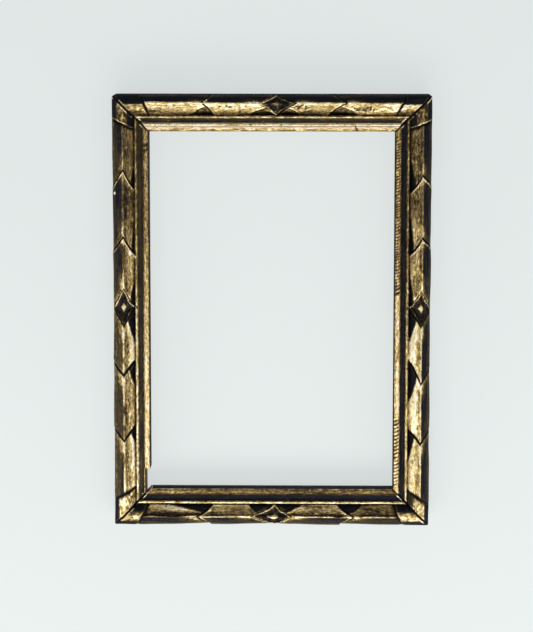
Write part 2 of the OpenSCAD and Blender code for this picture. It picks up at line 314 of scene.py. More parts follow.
def noise(s, u, size_s, size_u, seed):
    """Smooth noise from -1 to 1, with features of about size_s by size_u millimetres."""
    x, y = s / size_s + 1000.3, u / size_u + 1000.7
    x0, y0 = np.floor(x), np.floor(y)
    fx, fy = smooth(x - x0), smooth(y - y0)

    def grid(i, j):
        h = np.sin(i * 127.1 + j * 311.7 + seed * 74.7) * 43758.5453
        return 2 * (h - np.floor(h)) - 1

    a = grid(x0, y0) * (1 - fx) + grid(x0 + 1, y0) * fx
    b = grid(x0, y0 + 1) * (1 - fx) + grid(x0 + 1, y0 + 1) * fx
    return a * (1 - fy) + b * fy


def noise_along(s, size, seed):
    """Noise that changes only along a side."""
    return noise(s, 0.0, size, 1.0, seed)


def off_ridge(u):
    """Share of the way from the ridge to the roll's edge, on either side of it."""
    return np.where(u < RIDGE_U, (RIDGE_U - u) / RIDGE_U, (u - RIDGE_U) / (ROLL_W - RIDGE_U))


def roll_height(u):
    """Two slopes that meet in a thin ridge, each hollow beside it and full further out."""
    x = off_ridge(np.clip(u, 0, ROLL_W))
    outer = 0.8 * (1 - x**2.5) + 0.2 * np.exp(-x / 0.10)
    inner = 0.7 * (1 - x**3.5) + 0.3 * np.exp(-x / 0.08)
    return np.where(
        u < RIDGE_U,
        SHOULDER_V + (RIDGE_V - SHOULDER_V) * outer,
        VALLEY_V + (RIDGE_V - VALLEY_V) * inner,
    )


def band_height(u):
    """Plain half-round band beside a mitre."""
    x = (u - BAND_MID_U) / BAND_HALF_W
    edge = SHOULDER_V + (VALLEY_V - SHOULDER_V) * u / ROLL_W
    return edge + (RIDGE_V - 0.5 - edge) * (1 - np.clip(np.abs(x), 0, 1) ** 2.3)


def lowness(side, s):
    """0 at the frame's upper end and 1 at its lower end."""
    up = {0: -1.0, 90: s / OUTER_H * 2, 180: 1.0, 270: -s / OUTER_H * 2}[side["turn"]]
    return np.broadcast_to(np.clip((1 - up) / 2, 0, 1), s.shape)


def tone(side, part, s):
    """A side's value, which may change from the frame's upper to its lower end; that change paints
    in how light and shade fall along the frame.
    """
    high, low = np.broadcast_to(side[part], 2)
    return high + (low - high) * smooth((lowness(side, s) - 0.25) / 0.4)


class Skin:
    """Dark patina and brightness of the gold, with painted shade and painted highlights, at the
    points of a surface.
    """

    def soil_and_shade(self, where):
        """Puts patina and painted shade on, as far as a field from 0 to 1 says."""
        self.dark = np.maximum(self.dark, where)

    def rub_and_highlight(self, where, cleaner, brighter):
        """Takes patina off and brightens the gold, for wear and for painted highlights, as far as a
        field from 0 to 1 says.
        """
        self.dark = self.dark * (1 - np.minimum(cleaner * where, 1))
        self.light = self.light + brighter * where


class HalfSide(Skin):
    """Carving from the middle of a side's diamond to one of its corner bands.

    It starts with the patina and the brightness that the plain slopes have. Drop is how far the
    surface lies below the roll, distance how far it is from the middle of the diamond, and t the
    share of the way off the ridge.
    """

    def __init__(self, front, rows, rim):
        self.rows, self.rim = rows, rim
        self.heart, self.facet = front.side["heart"], front.side["facet"]
        self.tones = front.tones
        self.distance, self.t, self.inner = front.distance, front.t, front.inner
        self.dark, self.light = front.dark, front.light
        self.drop = np.zeros_like(self.distance)
        edges = self.edges()
        for k, edge in enumerate(edges):
            here = self.distance >= edge
            if k + 1 < len(edges):
                here &= self.distance < edges[k + 1]
            self.add_leaf(k, here, self.distance - edge)
            self.add_cut(k, self.distance - edge)
        self.add_diamond()

    def edges(self):
        """How far from the middle each tip's cut edge runs, the diamond's first."""
        (size, *_), *tips = self.rows
        edges = [size * (1 - np.clip(self.t, TINY, 1) ** DIAMOND_CURVE) ** (1 / DIAMOND_CURVE)]
        curve = np.where(self.inner, *ARM_CURVES)
        for tip, sweep_in, sweep_out, *_ in tips:
            sweep = np.where(self.inner, sweep_in, sweep_out)
            edges.append(tip - sweep * np.maximum(self.t, TINY) ** curve)
        return edges

    def add_leaf(self, k, here, past):
        """Leaf that comes out low from under a tip and rises, with a pocket beside its root."""
        tip, sweep_in, _, (long, tall, full), glow = self.rows[k]
        next_tip = self.rows[k + 1][0] if k + 1 < len(self.rows) else tip + LAST_LEAF
        q, t, inner = self.distance - tip, self.t, self.inner
        # Glow is a painted highlight that makes this leaf brighter than the others
        glowing = glow * smooth((q + 4) / 8) * (0.1 + 0.9 * smooth((t - 0.1) / 0.6))
        self.light = self.light + glowing * (here & inner)

        leaf = LAP_DROP * (1 - smooth(q / (0.5 * (next_tip - tip))))
        w = np.clip((q + sweep_in) / long, 0, 1)
        inset = tall * (1 - w**full) - (1 - t)
        sunk = smooth(inset / 0.13) * inner
        lapped = leaf + POCKET_DROP * sunk * (0.35 + 0.65 * (1 - w))
        self.drop = np.where(here, lapped, self.drop)
        sunk = sunk * here
        self.soil_and_shade(self.tones["pocket"] * smooth(inset / 0.18 + 0.30) * sunk)
        self.light = self.light * (1 - 0.45 * sunk)
        # A painted highlight along the pocket's edge, as strong as the beyond value says
        brink = bump(inset + 0.05, 0.060) * inner * smooth((1 - w) / 0.25) * smooth(w / 0.15)
        self.light = self.light + 0.65 * self.tones["beyond"] * brink * here

        # The root is rubbed and painted with a highlight along the ridge, and its outer slope is
        # rubbed a little
        root = bump(q - 2.0, 6.5) * bump(t, 0.55) * smooth((q + 1.0) / 1.5) * here
        self.light = self.light + 0.14 * root
        self.dark = self.dark * (1 - 0.6 * root * bump(t, 0.4))
        outer = ~inner & here
        slope = self.tones["rub_and_highlight"] * (1 - smooth((past - 5.0) / 3.0))
        self.rub_and_highlight(slope * outer, cleaner=0.75, brighter=0.10)
        patch = bump(q - 5.5, 6.0) * bump(t - 0.05, 0.34) * smooth((past - 1.8) / 1.5)
        self.rub_and_highlight(patch * self.tones["beyond"] * outer, cleaner=1.6, brighter=0.85)

    def add_cut(self, k, past):
        """A tip's cut edge: a painted shadow line, with a painted highlight on the lip before it
        and a little painted highlight beyond it.
        """
        tip, t, wide = self.rows[k][0], self.t, self.tones["cut"]
        cut = smooth((past + 0.25) / 0.4) * (1 - smooth((past - 1.35 * wide) / (0.8 * wide)))
        if k == 0:
            cut = cut * (1 - smooth((t - 0.92) / 0.05))
        # Beside a bright-rimmed diamond the cut's painted shadow is faint and a painted highlight
        # lies beyond it
        if k == 0 and self.rim >= 1:
            cut = cut * 0.3
            halo = bump(past - 0.9, 2.0) * (1 - smooth((t - 0.5) / 0.35)) * (past > 0)
            self.rub_and_highlight(halo, cleaner=0.8, brighter=0.26)
        # The cut's dark is a painted shadow line, wider at the frame's lower end
        self.soil_and_shade(cut)
        self.light = self.light * (1 - cut)
        self.drop = self.drop + CUT_DROP * cut
        # Painted highlights beyond the cut, and as the tongue along the ridge before the tip
        beyond = bump(past - 2.15 * wide - 0.35, 0.55) * self.tones["beyond"] * (past > 0)
        self.rub_and_highlight(beyond, cleaner=0.8, brighter=0.42)
        tongue = bump(self.distance - tip + 3.0, 5.5) * bump(t, 0.30)
        self.rub_and_highlight(tongue * self.tones["lip"] * (past < 0), cleaner=0.75, brighter=0.34)
        # Painted highlight on the lip before the cut
        if k > 0:
            chipped = 0.8 + 0.2 * noise(self.distance, t, 1.8, 0.15, tip)
            lip = bump(past + 0.95, 0.90) * self.tones["lip"] * chipped * (past < 0)
            self.light = np.maximum(self.light, 1.08 * lip + self.light * (1 - lip))
            self.dark = self.dark * (1 - 0.95 * lip)
            self.drop = self.drop - LIP_RISE * lip

    def add_diamond(self):
        """Rim, sunk facets and a small raised diamond in the middle; rim and middle carry painted
        highlights, the sunk facets patina with painted shade.
        """
        size, a, t, bright_rim = self.rows[0][0], self.distance, self.t, self.rim >= 1
        both_ways = np.where(self.inner, t, -t)
        uneven = noise(a, both_ways, 2.6, 0.35, size + 9)
        m = (a / size) ** DIAMOND_CURVE + t**DIAMOND_CURVE + 0.07 * uneven
        inside = m < 1.0
        sink = 0.5 + 2.0 * smooth((1.0 - m) / 0.25)
        sink = np.where(m < 0.52, 2.5 - 2.1 * smooth((0.52 - m) / 0.3), sink)
        self.drop = np.where(inside, sink, self.drop)
        middle = smooth((0.43 - m) / 0.17)
        shine = 0.50 + (0.5 * self.heart + 0.12 * noise(a, t, 1.5, 0.15, 5)) * middle
        self.light = np.where(inside, shine, self.light)
        glint = smooth(noise(a, t, 2.0, 0.22, size) / 0.6)
        worn = self.facet * self.inner * glint if bright_rim else 0.5 * self.facet * glint
        mottled = 0.84 - 0.22 * noise(a, both_ways, 1.3, 0.16, size + 3)
        soiled_and_shaded = mottled * (1 - self.heart * middle) * (1 - worn)
        self.dark = np.where(inside, soiled_and_shaded, self.dark)
        # Painted highlight along the rim, brighter on a half with a higher rim value
        rim = bump(m - 0.94, 0.09 if bright_rim else 0.075)
        self.light = np.maximum(self.light, rim * min(0.95 * self.rim, 1.1))
        self.dark = self.dark * (1 - min(0.75 * self.rim, 1.0) * rim)
        self.drop = self.drop - rim * RIM_RISE


class Front(Skin):
    """Front of a side, at points s along it and u in from its outside edge.

    V is its height, dark its patina and painted shade, and light the brightness of its gold with
    painted light and shade in it. Each noise has its own number, which is added to the side's seed.
    """

    def __init__(self, key, s, u):
        side = SIDES[key]
        self.key, self.side, self.s = key, side, s
        self.end = side["length"] / 2 - np.abs(s)
        self.gap = (self.end - u) / math.sqrt(2)
        self.u = u + np.interp(u, [0, 8, 17.5, BEAD_U], [0, *side["pull"], 0])
        self.on_roll = self.u < ROLL_W - 0.1
        self.streak, self.cloud = self.noise(11, 1.1, 9), self.noise(15, 5, 60)
        self.near, self.far = self.tone("near"), self.tone("far")
        self.tones = {part: self.tone(part) for part in ("pocket", "lip", "beyond", "cut", "rub_and_highlight")}
        self.place_ridge()
        self.lay_gold()
        self.carve()
        self.add_bands()
        self.add_fillet_and_cove()
        self.add_patches()
        self.open_mitre()
        self.add_spots_and_knocks()
        self.add_hand_work()

    def noise(self, size_s, size_u, number):
        return noise(self.s, self.u, size_s, size_u, self.side["seed"] + number)

    def tone(self, part):
        return tone(self.side, part, self.s)

    def place_ridge(self):
        """Finds roll_u, which is u as it would be if the ridge ran straight in its usual place."""
        side, s, u, seed = self.side, self.s, self.u, self.side["seed"]
        shift, self.rubbed_and_lit_w = side["ridge"]
        bend_at, bend_wide, bend_by = side["bend"]
        moved = shift + bend_by * bump(s - bend_at, bend_wide)
        moved = moved * np.interp(u, [0, RIDGE_U + shift, ROLL_W], [0, 1, 0])
        wander = 0.45 * noise_along(s, 26, seed) + 0.25 * noise_along(s, 7, seed + 1)
        wander = wander * np.clip(1 - u / ROLL_W, 0, 1) * np.clip(u / 2, 0, 1)
        self.roll_u = u - moved + wander
        self.t = np.clip(off_ridge(self.roll_u), 0, 1)
        self.inner = self.roll_u > RIDGE_U

    def lay_gold(self):
        """Outer slopes are left dark and inner ones are gold, with a ridge between them that is
        rubbed and painted with a highlight.
        """
        uu, near, far = self.roll_u, self.near, self.far
        outward = smooth((RIDGE_U - 0.2 - uu) / 1.1)
        ridge = bump(uu - RIDGE_U, self.rubbed_and_lit_w)
        ridge = ridge * smooth(noise_along(self.s, 6, self.side["seed"] + 8) + 0.9)
        climb = np.clip((uu - RIDGE_U - 0.9 + 0.9 * self.cloud) / self.side["climb"], 0, 1)
        smudge = smooth((self.noise(5, 2.2, 62) - 0.25) / 0.5)
        freckles = smooth((self.noise(1.9, 0.9, 70) - 0.25) / 0.4)
        freckles = freckles * smooth(self.noise(13, 6, 71) / 0.5 + 0.3)
        # Near to far across the inner slope is painted light and shade, for how the slope turns to
        # the light
        gold = near + (far - near) * climb + 0.05 * self.streak + 0.11 * self.cloud
        gold = gold - 0.17 * smudge - 0.22 * freckles
        soil_and_shade = self.tone("outer") + 0.14 * self.streak + 0.10 * self.cloud
        soil_and_shade += 0.15 * smooth((uu - 3.5) / 3.0) - 0.35 * smooth((3.4 - self.u) / 3.4)
        ground = gold * (1 - outward) + 0.30 * outward
        self.light = ground * (1 - ridge) + self.tone("crest") * ridge
        self.dark = np.clip(np.clip(soil_and_shade, 0, 1) * outward * (1 - ridge), 0, 1)

    def carve(self):
        """Adds the leaves and the diamond of the two halves."""
        side, a = self.side, self.s - self.side["middle"]
        sway = 0.5 * self.noise(9, 5, 3) + 0.3 * self.noise(3, 2, 4)
        self.distance = np.maximum(np.abs(a) + sway, 0)
        low, high = (HalfSide(self, *half) for half in zip(side["halves"], side["rims"]))
        drop = np.where(a < 0, low.drop, high.drop)
        self.dark = np.where(a < 0, low.dark, high.dark)
        self.light = np.where(a < 0, low.light, high.light)
        ridge_line = bump(self.roll_u - RIDGE_U, 0.5) * (self.dark < 0.5)
        self.v = roll_height(self.roll_u) - drop - RIDGE_DROP * ridge_line

    def add_bands(self):
        """Plain band beside each mitre, behind a groove, with a painted highlight on its crown and
        on the groove's lip and painted shade on its outer part.
        """
        side, s, u = self.side, self.s, self.u
        start, stop, inner_dark = (np.where(s < 0, *pair) for pair in zip(*side["bands"]))
        cut = (self.end - start - (stop - start) * u / ROLL_W) * 0.9 + 0.3 * self.noise(5, 3, 6)
        band, in_band = smooth((0.3 - cut) / 0.7), cut < 0
        groove = bump(cut, 0.62 + 0.5 * lowness(side, s))
        self.v = self.v * (1 - band) + band_height(u) * band - GROOVE_DROP * groove
        soil_and_shade = smooth((u - 9.3) / 2.4) * inner_dark
        # The band's outer part, as wide as band_edge says, is painted dark as shade
        soil_and_shade = soil_and_shade + 0.95 * smooth((side["band_edge"] + 2.2 - u) / 2.2)
        self.dark = np.where(in_band, np.clip(soil_and_shade + 0.15 * self.streak, 0, 1), self.dark)
        # The band's gold is painted brightest along its crown, a painted highlight
        dim, lit = np.minimum(self.near, self.far), np.maximum(self.near, self.far)
        gold = dim + (lit - dim) * (0.35 + 0.65 * bump(u - 6.6, 3.2))
        gold = gold + 0.12 * self.cloud + 0.28 * self.noise(1.7, 1.3, 66) - 0.09
        self.light = np.where(in_band, gold, self.light)
        self.soil_and_shade(groove)
        self.light = self.light * (1 - groove)
        # Painted highlight on the lip before the groove
        self.rub_and_highlight(bump(cut + 1.1, 0.42) * self.tones["lip"], cleaner=0.6, brighter=0.5)

    def add_fillet_and_cove(self):
        """Valley beside the roll, fillet, cove and the foot of the bead's gold."""
        side, u = self.side, self.u
        fillet_end = ROLL_W + FILLET_W
        filled = side["foot"] - 0.5
        end_v = BEAD_MID_V + 1.5 * filled
        slope_down = FILLET_V - (FILLET_V - end_v) * (u - fillet_end) / (BEAD_U - fillet_end)
        round_off = 0.25 * (bump(u - ROLL_W - 0.3, 0.3) + bump(u - fillet_end, 0.35))
        flat = np.where(u < fillet_end, FILLET_V, slope_down) - round_off
        inside_cove = (COVE_R - 0.25 * filled) ** 2 - (u - COVE_U + 0.3 * filled) ** 2
        cove = COVE_V - np.sqrt(np.clip(inside_cove, 0, None))
        past_roll = np.where(inside_cove > 0, np.minimum(flat, cove), flat)
        valley = bump(u - ROLL_W + 0.15, 0.42)
        self.v = np.where(self.on_roll, self.v, past_roll) - VALLEY_DROP * valley

        gold = self.tone("fillet") + 0.14 * self.noise(5, 2, 10) + 0.14 * self.noise(1.6, 1, 11)
        self.dark = np.where(self.on_roll, self.dark, 0.0)
        self.light = np.where(self.on_roll, self.light, gold)
        foot = BEAD_U - side["foot"]
        in_cove = smooth((u - fillet_end + 0.1) / 0.6) * (1 - smooth((u - foot) / 0.4))
        # The foot's gold is painted brighter the further it runs into the cove, a painted highlight
        # where that wall turns from the light
        foot_gold = (0.84 + 0.13 * side["foot"]) * self.tone("bead")
        self.light = np.where(u > foot, foot_gold + 0.1 * self.streak, self.light)
        self.soil_and_shade(in_cove * (self.tone("cove") + 0.12 * self.streak))
        self.soil_and_shade(valley * self.tone("valley"))

    def add_patches(self):
        # Painted highlights and painted shade in the listed places
        for at, deep, half_s, half_u, change in PATCHES[self.key]:
            patch = change * bump(self.s - at, half_s) * bump(self.u - deep, half_u)
            self.light = self.light + patch * self.on_roll
        self.light = np.clip(self.light, 0.0, 0.96)

    def open_mitre(self):
        """Slightly open mitre, with dark in it."""
        self.v = self.v - MITRE_DROP * bump(self.gap, 0.5)
        self.soil_and_shade(bump(self.gap, 0.82))

    def oval(self, at, deep, half_s, half_u, ragged):
        """1 in an oval with a ragged edge and 0 outside it."""
        away = np.hypot((self.s - at) / half_s, (self.u - deep) / half_u)
        return smooth((1 + ragged - away) / 0.4)

    def add_spots_and_knocks(self):
        """White chips along the mitre and in the spots, and dark knocks."""
        chips = smooth(self.noise(2.2, 2.2, 7) + 0.3) * bump(self.gap - 1.25, 0.45)
        for spot in SPOTS[self.key]:
            chips = np.maximum(chips, self.oval(*spot, 0.35 * self.noise(0.9, 0.9, 61)))
        self.light = np.maximum(self.light, 1.2 * chips)
        self.dark = self.dark * (1 - 0.95 * chips)
        for at, deep, half_s, half_u in KNOCKS[self.key]:
            ragged = (0.3 + 0.22 * half_s) * self.noise(1.1, 0.8, 63)
            knock = self.oval(at, deep, half_s, half_u, ragged)
            self.soil_and_shade(0.55 * knock)
            self.v = self.v - KNOCK_DROP * knock

    def add_hand_work(self):
        """Tool marks along the length, uneven gesso and small pits."""
        self.v = self.v + (0.08 * self.noise(7, 0.9, 13) + 0.11 * self.noise(4.5, 2.6, 17))
        self.v = self.v + 0.18 * self.noise(17, 6, 19)
        pits = smooth((self.noise(1.3, 0.9, 29) - 0.78) / 0.2)
        self.v = self.v - PIT_DROP * pits
        self.dark = np.clip(self.dark + 0.5 * pits, 0, 1)


def edge_wear(side, s):
    """How far the outside edge of the front is cut back beside the leaf tips."""
    a = s - side["middle"]
    worn = 0.25 * (1 + noise_along(s, 13, side["seed"] + 50))
    for rows, half in zip(side["halves"], (a < 0, a >= 0)):
        for tip, _, sweep, *_ in rows:
            past = np.abs(a) - tip + sweep
            fading = smooth(past / 0.8) * np.exp(-np.clip(past, 0, None) / 9)
            worn += 0.8 * side["wear"] * half * (past > 0) * fading
    return worn


def place(side, s, u, v):
    """From a side's own s, u and v to the frame's x, y and z, in millimetres."""
    out = (OUTER_H if side["turn"] % 180 == 0 else OUTER_W) / 2
    px, py = s, u - out
    c, d = {0: (1, 0), 90: (0, 1), 180: (-1, 0), 270: (0, -1)}[side["turn"]]
    return c * px - d * py, -v, MID_Z + d * px + c * py


def round_corners(x, z):
    """Pulls points in to the worn outer corners."""
    for (sx, sz), r in CORNER_R.items():
        dx, dz = OUTER_W / 2 - sx * x, OUTER_H / 2 - sz * (z - MID_Z)
        px, pz = r - dx, r - dz
        away = np.hypot(px, pz)
        hit = (px > 0) & (pz > 0) & (away > r)
        k = np.where(hit, r / np.maximum(away, TINY), 1.0)
        x = np.where(hit, sx * (OUTER_W / 2 - r + px * k), x)
        z = np.where(hit, MID_Z + sz * (OUTER_H / 2 - r + pz * k), z)
    return x, z


def loop_mesh(name, coords, fields, parts, materials):
    """Closed tube from an array of rings (columns, ring points, 3), with flat wooden ends.

    Fields are the attributes of its points, and parts is each ring segment's place in materials.
    """
    columns, ring = coords.shape[:2]
    index = np.arange(columns * ring).reshape(columns, ring)
    a, b = index[:-1], index[1:]
    quads = np.stack([a, np.roll(a, -1, 1), np.roll(b, -1, 1), b], -1).reshape(-1, 4)
    faces = quads.tolist() + [index[0][::-1].tolist(), index[-1].tolist()]
    mesh = bpy.data.meshes.new(name)
    mesh.from_pydata((coords.reshape(-1, 3) * MM).tolist(), [], faces)
    places = np.tile(np.array(parts, dtype=np.int32), columns - 1).tolist() + [WOOD, WOOD]
    mesh.polygons.foreach_set("material_index", places)
    for material in materials:
        mesh.materials.append(material)
    for key, value in fields.items():
        kind, member = ("FLOAT_VECTOR", "vector") if value.ndim == 3 else ("FLOAT", "value")
        layer = mesh.attributes.new(key, kind, "POINT")
        layer.data.foreach_set(member, value.astype(np.float32).reshape(-1))
    bm = bmesh.new()
    bm.from_mesh(mesh)
    ends = [f for f in bm.faces if len(f.verts) > 4]
    bmesh.ops.triangulate(bm, faces=ends)
    bmesh.ops.recalc_face_normals(bm, faces=bm.faces)
    bm.to_mesh(mesh)
    bm.free()
    mesh.polygons.foreach_set("use_smooth", [True] * len(mesh.polygons))
    mesh.set_sharp_from_angle(angle=SHARP_ANGLE)
    made = bpy.data.objects.new(name, mesh)
    bpy.context.scene.collection.objects.link(made)
    return made


def make_rail(key, materials):
    """Carved front of a side, with its back, rabbet and outside face."""
    side = SIDES[key]
    steps = np.arange(EDGE_STRIP + STEP_U, BEAD_U, STEP_U)
    front_u = np.concatenate([[0.0, EDGE_STRIP], steps, [BEAD_U]])
    rest = np.array(RAIL_SEAT + RAIL_BACK + RAIL_OUTSIDE)
    ring_u, nf, seat = np.concatenate([front_u, rest[:, 0]]), len(front_u), len(RAIL_SEAT)
    t = np.linspace(-1, 1, int(side["length"] / STEP_S))[:, None]
    s = t * (side["length"] / 2 - ring_u - MITRE_GAP)
    u = np.broadcast_to(ring_u, s.shape)
    v, dark, light = np.empty_like(s), np.zeros_like(s), np.zeros_like(s)
    front = Front(key, s[:, :nf], u[:, :nf])
    v[:, :nf], dark[:, :nf], light[:, :nf] = front.v, front.dark, front.light
    v[:, nf:] = rest[:, 1]
    dark[:, nf : nf + seat], light[:, nf : nf + seat] = 0.6, 0.25
    worn = edge_wear(side, s) * np.clip((v - 9) / 9, 0, 1) * np.clip(1 - u / 2.6, 0, 1)
    x, y, z = place(side, s, u + worn, v)
    x, z = round_corners(x, z)
    lay_u = u + LAY_V * v * (u > RABBET_U)
    lay = np.stack([s, lay_u, np.full_like(s, side["seed"] * RAIL_LAY)], -1)
    parts = [GILT] * (nf + seat - 1) + [WOOD] * (len(RAIL_BACK) + 1) + [PAINT] * len(RAIL_OUTSIDE)
    fields = dict(dark=dark, light=light, lay=lay)
    return loop_mesh(f"carved_{key}", np.stack([x, y, z], -1), fields, parts, materials)


def make_bead(key, materials):
    """Sight bead of a side: a slip of wood with a gilt half round on it."""
    side, seed = SIDES[key], SIDES[key]["seed"]
    crown = [
        (BEAD_U + BEAD_R + BEAD_R * math.cos(w), BEAD_MID_V + BEAD_R * math.sin(w) ** side["crown"])
        for w in np.linspace(math.pi - TINY, TINY, CROWN_POINTS)
    ]
    points = np.array(crown + BEAD_SIGHT + BEAD_HIDDEN)
    ring_u, nc = points[:, 0], len(crown)
    t = np.linspace(-1, 1, int(side["length"] / BEAD_STEP))[:, None]
    reach = side["length"] / 2 - ring_u - BEAD_GAP
    s = t * reach
    if key == "left":
        # The lower end is broken off, with a ragged end
        ragged = BREAK_S + 0.5 * noise(ring_u * 3, points[:, 1], 1.5, 1.0, 5)
        broken = np.minimum(side["length"] / 2 - ring_u - MITRE_GAP, ragged)
        s = (t + 1) / 2 * (broken + reach) - reach
    u = np.broadcast_to(ring_u, s.shape)
    v = np.broadcast_to(points[:, 1], s.shape).copy()
    across = (u - BEAD_U - BEAD_R) / BEAD_R
    top = np.clip(1 - np.abs(across) ** 2, 0, 1)
    gap = (side["length"] / 2 - np.abs(s) - u) / math.sqrt(2)
    marks = chatter(key, s, u)
    rough = 0.10 * noise(s, u, 5, 1.4, seed + 31) + 0.07 * noise(s, u, 2.0, 1.2, seed + 32)
    v[:, :nc] += (rough * np.sqrt(top))[:, :nc]
    v[:, :nc] -= (marks * top)[:, :nc]
    v[:, :nc] -= (BEAD_MITRE_DROP * bump(gap, 0.4))[:, :nc]

    flank = 0.5 if side["foot"] < 1 else 0.0
    dark = flank * smooth((-across - 0.88) / 0.12) + smooth((across - side["reach"]) / 0.2)
    dark = np.maximum(dark, np.clip(marks * 1.5, 0, 0.6))
    dark[:, nc:] = 1.0
    dark = np.maximum(dark, bump(gap, 0.55))
    light = tone(side, "bead", s)
    light = light + 0.12 * noise(s, u, 6, 0.9, seed + 33) + 0.08 * noise(s, u, 1.8, 0.7, seed + 34)
    # Tilt paints one half of the bead lighter than the other, painted light and shade for how each
    # half faces the light
    light = np.minimum(light - (0.9 * marks + side["tilt"] * across), 1.05)
    for at, wide, change in FADES.get(key, ()):
        light += change * bump(s - at, wide)
    light[:, nc:] = 0.0
    if key == "bottom":
        # With the left bead's end gone, the arris of this one's mitre shows, rubbed to the gesso
        arris = bump(gap - 0.55, 0.3) * (s < 0) * (v > 6)
        light, dark = np.maximum(light, 1.25 * arris), dark * (1 - arris)
    lay = np.stack([s, u + LAY_V * v, np.full_like(s, seed * BEAD_LAY)], -1)
    parts = [GILT] * (nc - 1) + [PAINT] * len(BEAD_SIGHT) + [WOOD] * (len(BEAD_HIDDEN) + 1)
    coords = np.stack(place(side, s, u, v), -1)
    return loop_mesh(f"bead_{key}", coords, dict(dark=dark, light=light, lay=lay), parts, materials)


def chatter(key, s, u):
    """Depth of the small cuts and dents across a bead."""
    depth, seed, in_u = np.zeros_like(s), SIDES[key]["seed"], u - BEAD_U
    if key == "right":
        for low, high, pitch, deep in ROPE_RUNS:
            run = smooth((s - low) / 6) * smooth((high - s) / 6)
            phase = (s + 0.35 * in_u) / pitch + 0.5 * noise_along(s, 8, seed)
            wave = (0.5 + 0.5 * np.cos(2 * math.pi * phase)) ** 2
            depth += deep * run * wave * (0.75 + 0.35 * noise(s, u, 3, 2, seed + 1))
    if key == "bottom":
        phase = (s - 0.8 * in_u) / 2.4 + noise_along(s, 7, seed)
        run = smooth((noise_along(s, 24, seed + 2) + 0.5) / 0.5)
        depth += 0.12 * run * (0.5 + 0.5 * np.cos(2 * math.pi * phase)) ** 2
    for at, wide, deep in DENTS.get(key, ()):
        depth += deep * bump(s - at + 0.4 * in_u, wide)
    nicks = smooth((noise(s, u, 1.9, 1.3, seed + 41) - 0.66) / 0.3)
    return depth + 0.14 * nicks


class Nodes:
    """Small helper that adds shader nodes and joins them."""

    def __init__(self, holder):
        holder.use_nodes = True
        self.tree = holder.node_tree
        self.tree.nodes.clear()

    def add(self, kind, inputs=(), **settings):
        """Adds a node, and joins each of its inputs to a socket or sets its value."""
        node = self.tree.nodes.new("ShaderNode" + kind)
        for key, value in settings.items():
            setattr(node, key, value)
        for key, value in dict(inputs).items():
            if isinstance(value, bpy.types.NodeSocket):
                self.tree.links.new(value, node.inputs[key])
            else:
                node.inputs[key].default_value = value
        return node

    def attribute(self, name, output="Fac"):
        return self.add("Attribute", attribute_name=name).outputs[output]

    def math(self, kind, a, b, clamp=False):
        return self.add("Math", {0: a, 1: b}, operation=kind, use_clamp=clamp).outputs[0]

    def noise(self, vector, scale, detail, rough):
        inputs = {"Vector": vector, "Scale": scale, "Detail": detail, "Roughness": rough}
        return self.add("TexNoise", inputs).outputs["Fac"]

    def stretched(self, vector, scale, detail, rough):
        """Noise with its own scale along each axis."""
        mapped = self.add("Mapping", {"Vector": vector, "Scale": scale}).outputs[0]
        return self.noise(mapped, 1.0, detail, rough)

    def ramp(self, value, low, high):
        inputs = {"Value": value, "From Min": low, "From Max": high}
        return self.add("MapRange", inputs, interpolation_type="SMOOTHSTEP").outputs["Result"]

    def mix(self, share, a, b):
        """Mixes two colours."""
        return self.add("Mix", {0: share, 6: a, 7: b}, data_type="RGBA").outputs[2]

    def between(self, share, a, b):
        """Mixes two numbers."""
        return self.add("Mix", {0: share, 2: a, 3: b}).outputs[0]

    def colours(self, value, stops):
        n = self.add("ValToRGB", {0: value})
        marks = n.color_ramp.elements
        marks[0].position, marks[0].color = stops[0]
        marks[1].position, marks[1].color = stops[-1]
        for at, colour in stops[1:-1]:
            marks.new(at).color = colour
        return n.outputs[0]

    def bump(self, height, strength, distance):
        inputs = {"Height": height, "Strength": strength, "Distance": distance}
        return self.add("Bump", inputs).outputs[0]


class Surface(Nodes):
    """Material with one Principled shader."""

    def __init__(self, name):
        self.material = bpy.data.materials.new(name)
        super().__init__(self.material)

    def made(self, colour, roughness, normal=None, metallic=0.0, specular=0.5):
        inputs = {"Base Color": colour, "Roughness": roughness, "Metallic": metallic}
        inputs["Specular IOR Level"] = specular
        if normal:
            inputs["Normal"] = normal
        shader = self.add("BsdfPrincipled", inputs)
        self.add("OutputMaterial", {"Surface": shader.outputs[0]})
        return self.material


# Gold by brightness, from soiled through satin to bright, and last the white gesso under it
GOLDS = [
    (0.00, (0.014, 0.010, 0.008)),
    (0.17, (0.043, 0.031, 0.020)),
    (0.38, (0.185, 0.131, 0.055)),
    (0.55, (0.420, 0.315, 0.137)),
    (0.68, (0.680, 0.560, 0.300)),
    (0.80, (0.920, 0.828, 0.605)),
    (0.98, (0.950, 0.900, 0.790)),
]
# Brightness that the last of these is spread to
GOLD_SPAN = 1.2
# How much four noises change the gold's brightness
MOTTLE, STREAKS, ACROSS, GRAIN = 0.42, 0.30, 0.12, 0.66
BROWN = (0.055, 0.041, 0.021)
DEEP_TINT, PALE_TINT = (1.0, 0.975, 0.74), (1.0, 1.01, 1.16)
CARVING_TINT, BEAD_TINT = (1.0, 1.0, 1.0), (1.0, 0.935, 0.88)
